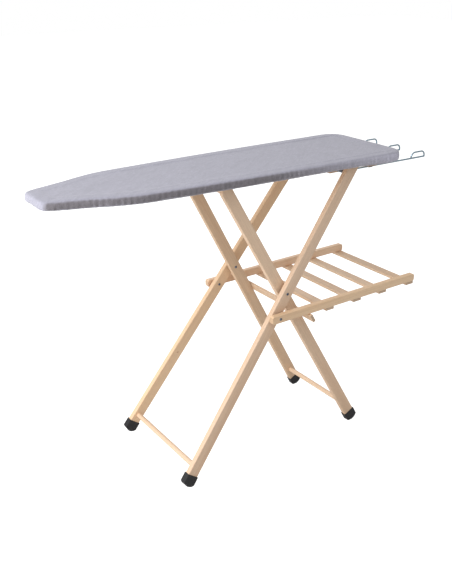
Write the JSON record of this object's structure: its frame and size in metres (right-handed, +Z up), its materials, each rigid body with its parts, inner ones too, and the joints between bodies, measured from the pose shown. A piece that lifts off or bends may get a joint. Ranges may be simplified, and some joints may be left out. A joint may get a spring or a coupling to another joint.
{
  "type": "folding ironing board",
  "caption": "Free-standing folding ironing board: long padded top on crossed wooden legs, with a slatted laundry rack and a wire iron rest.",
  "frame": {"origin": "on the floor, under the middle of the whole object's box, wire rest included", "axes": "+X along the board from its nose to the wire iron rest, +Y across the board, +Z up"},
  "size_m": [1.3008, 0.3984, 0.9137],
  "materials": {
    "beech": "satin",
    "plywood": "satin",
    "cotton": "matte",
    "felt": "matte",
    "elastic": "matte",
    "steel": "satin",
    "wire": "polished",
    "cap": "matte"
  },
  "bodies": {
    "board": {"panel": "plywood", "pad": "felt", "cover": "cotton", "hem_elastic": "elastic", "batten_front": "beech", "batten_back": "beech", "batten_screws": "steel", "hinge_block_front": "beech", "hinge_block_back": "beech", "block_screws": "steel", "hinge_rod": "steel", "hinge_spacers": "steel", "rest_cleat": "beech", "iron_rest": "wire", "rest_clips": "steel", "rest_screws": "steel"},
    "outer_legs": {"outer_leg_front": "beech", "outer_leg_back": "beech", "outer_rung": "beech", "outer_cap_front": "cap", "outer_cap_back": "cap", "pivot_bolts": "steel", "pivot_nuts": "steel", "pivot_spacers": "steel", "rack_bolts": "steel", "rack_nuts": "steel", "rack_spacers": "steel"},
    "inner_legs": {"inner_leg_front": "beech", "inner_leg_back": "beech", "inner_rung": "beech", "crossbar": "beech", "inner_cap_front": "cap", "inner_cap_back": "cap", "support_bar": "beech", "support_screws": "steel"},
    "rack": {"rack_rail_front": "beech", "rack_rail_back": "beech", "slat_1": "beech", "slat_2": "beech", "slat_3": "beech", "slat_4": "beech", "slat_screws": "steel"}
  },
  "joints": [
    {"name": "leg_fold", "type": "hinge", "parent": "board", "child": "outer_legs", "pos_m": [0.31048, 0, 0.863], "axis": [0, 1, 0], "range_deg": [0, 37]},
    {"name": "leg_cross", "type": "hinge", "parent": "outer_legs", "child": "inner_legs", "pos_m": [0.06475, 0, 0.52848], "axis": [0, 1, 0], "range_deg": [-80.39, 0]},
    {"name": "rack_fold", "type": "hinge", "parent": "outer_legs", "child": "rack", "pos_m": [0.01976, 0, 0.46723], "axis": [0, 1, 0], "range_deg": [-49.63, 0]}
  ],
  "couplings": [
    {"joint": "leg_cross", "follows": "leg_fold", "ratio": -2.1713},
    {"joint": "rack_fold", "follows": "leg_fold", "ratio": -1.34}
  ]
}
